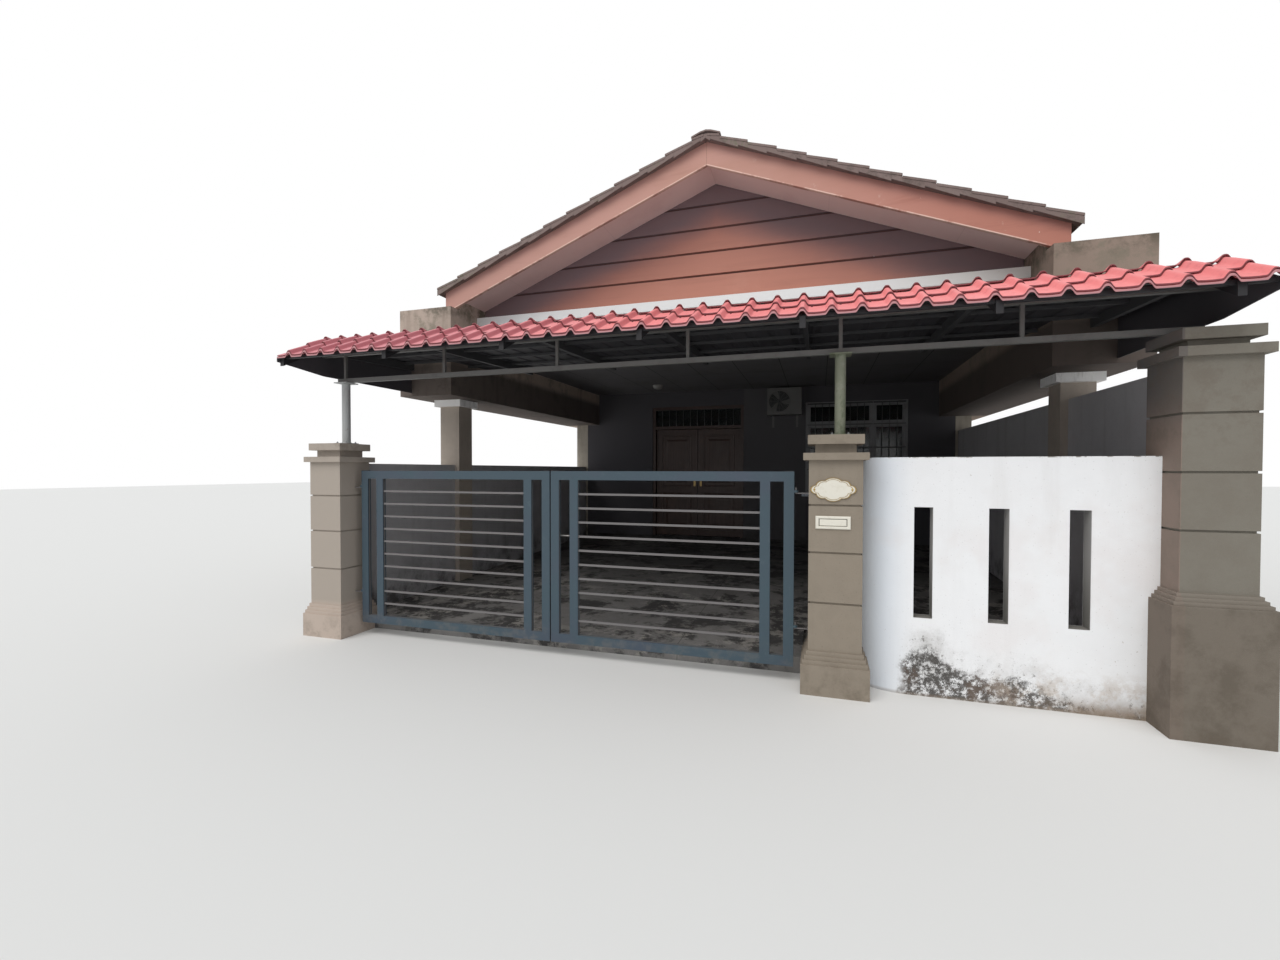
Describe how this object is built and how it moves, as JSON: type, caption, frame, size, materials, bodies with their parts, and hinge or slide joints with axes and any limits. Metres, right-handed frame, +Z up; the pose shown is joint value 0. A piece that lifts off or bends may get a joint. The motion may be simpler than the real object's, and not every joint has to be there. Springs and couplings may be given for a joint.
{
  "type": "single-storey terraced house",
  "caption": "Single-storey terraced house between two party lines: gabled roof, car porch, tiled awning, pillars, slotted front wall, double swing gate and a pair of front doors",
  "frame": {"origin": "on the ground under the middle of the whole house's box", "axes": "+X to the right along the street seen from the street, +Y from the street to the back yard, +Z up"},
  "size_m": [7.42, 16.61, 5.063],
  "materials": {
    "concrete_floor": "weathered",
    "party_render": "painted render",
    "grey_render": "stained grey render",
    "column_paint": "painted render",
    "wall_paint": "painted render",
    "white_paint": "painted render",
    "pillar_render": "textured render",
    "gable_stain": "painted boards",
    "roof_tile": "concrete tile",
    "barge_paint": "painted timber",
    "soffit_paint": "painted sheet",
    "ceiling_paint": "painted sheet",
    "door_timber": "varnished",
    "window_frame": "satin",
    "clear_glass": "clear",
    "gate_paint": "satin",
    "post_steel": "weathered",
    "frame_steel": "satin",
    "awning_metal": "satin",
    "deck_metal": "satin",
    "appliance_white": "satin"
  },
  "bodies": {
    "house": {"porch_slab": "concrete_floor", "house_slab": "concrete_floor", "party_wall_left": "party_render", "party_wall_right": "party_render", "gutter_box_left": "grey_render", "gutter_box_right": "grey_render", "porch_beam": "grey_render", "porch_column_left": "column_paint", "porch_column_right": "column_paint", "boundary_wall_left": "wall_paint", "boundary_wall_right": "wall_paint", "front_wall_left": "wall_paint", "front_wall_over_door": "wall_paint", "front_wall_right": "wall_paint", "rear_wall": "wall_paint", "lower_ledge": "white_paint", "upper_ledge": "white_paint", "fence_panel": "white_paint", "fence_curve": "white_paint", "gate_pillar_left": "pillar_render", "gate_pillar_number": "pillar_render", "party_pillar_right": "pillar_render", "gable_boards": "gable_stain", "roof_slope_left": "roof_tile", "roof_slope_right": "roof_tile", "ridge_tiles": "roof_tile", "barge_boards_front": "barge_paint", "barge_boards_rear": "barge_paint", "soffit_front": "soffit_paint", "soffit_rear": "soffit_paint", "porch_ceiling": "ceiling_paint", "house_ceiling": "ceiling_paint", "front_door_frame": "door_timber", "rear_door": "door_timber", "front_window_frame": "window_frame", "rear_window": "window_frame", "front_glass": "clear_glass", "gate_hinges": "gate_paint", "awning_posts": "post_steel", "awning_truss": "frame_steel", "awning_rafters": "frame_steel", "awning_tiles": "awning_metal", "awning_ends": "awning_metal", "awning_deck": "deck_metal", "ac_unit": "appliance_white", "porch_lamp": "appliance_white"},
    "gate_leaf_left": {"gate_left": "gate_paint"},
    "gate_leaf_right": {"gate_right": "gate_paint"},
    "door_leaf_left": {"front_door_left": "door_timber"},
    "door_leaf_right": {"front_door_right": "door_timber"}
  },
  "joints": [
    {"name": "gate_left_swing", "type": "hinge", "parent": "house", "child": "gate_leaf_left", "pos_m": [-3.085, -7.805, 0.42], "axis": [0, 0, 1], "range_deg": [-90, 0]},
    {"name": "gate_right_swing", "type": "hinge", "parent": "house", "child": "gate_leaf_right", "pos_m": [0.956, -7.805, 0.42], "axis": [0, 0, 1], "range_deg": [0, 90]},
    {"name": "door_left_swing", "type": "hinge", "parent": "house", "child": "door_leaf_left", "pos_m": [-1.839, -1.779, 0.65], "axis": [0, 0, 1], "range_deg": [0, 90]},
    {"name": "door_right_swing", "type": "hinge", "parent": "house", "child": "door_leaf_right", "pos_m": [-0.239, -1.779, 0.65], "axis": [0, 0, 1], "range_deg": [-90, 0]}
  ]
}
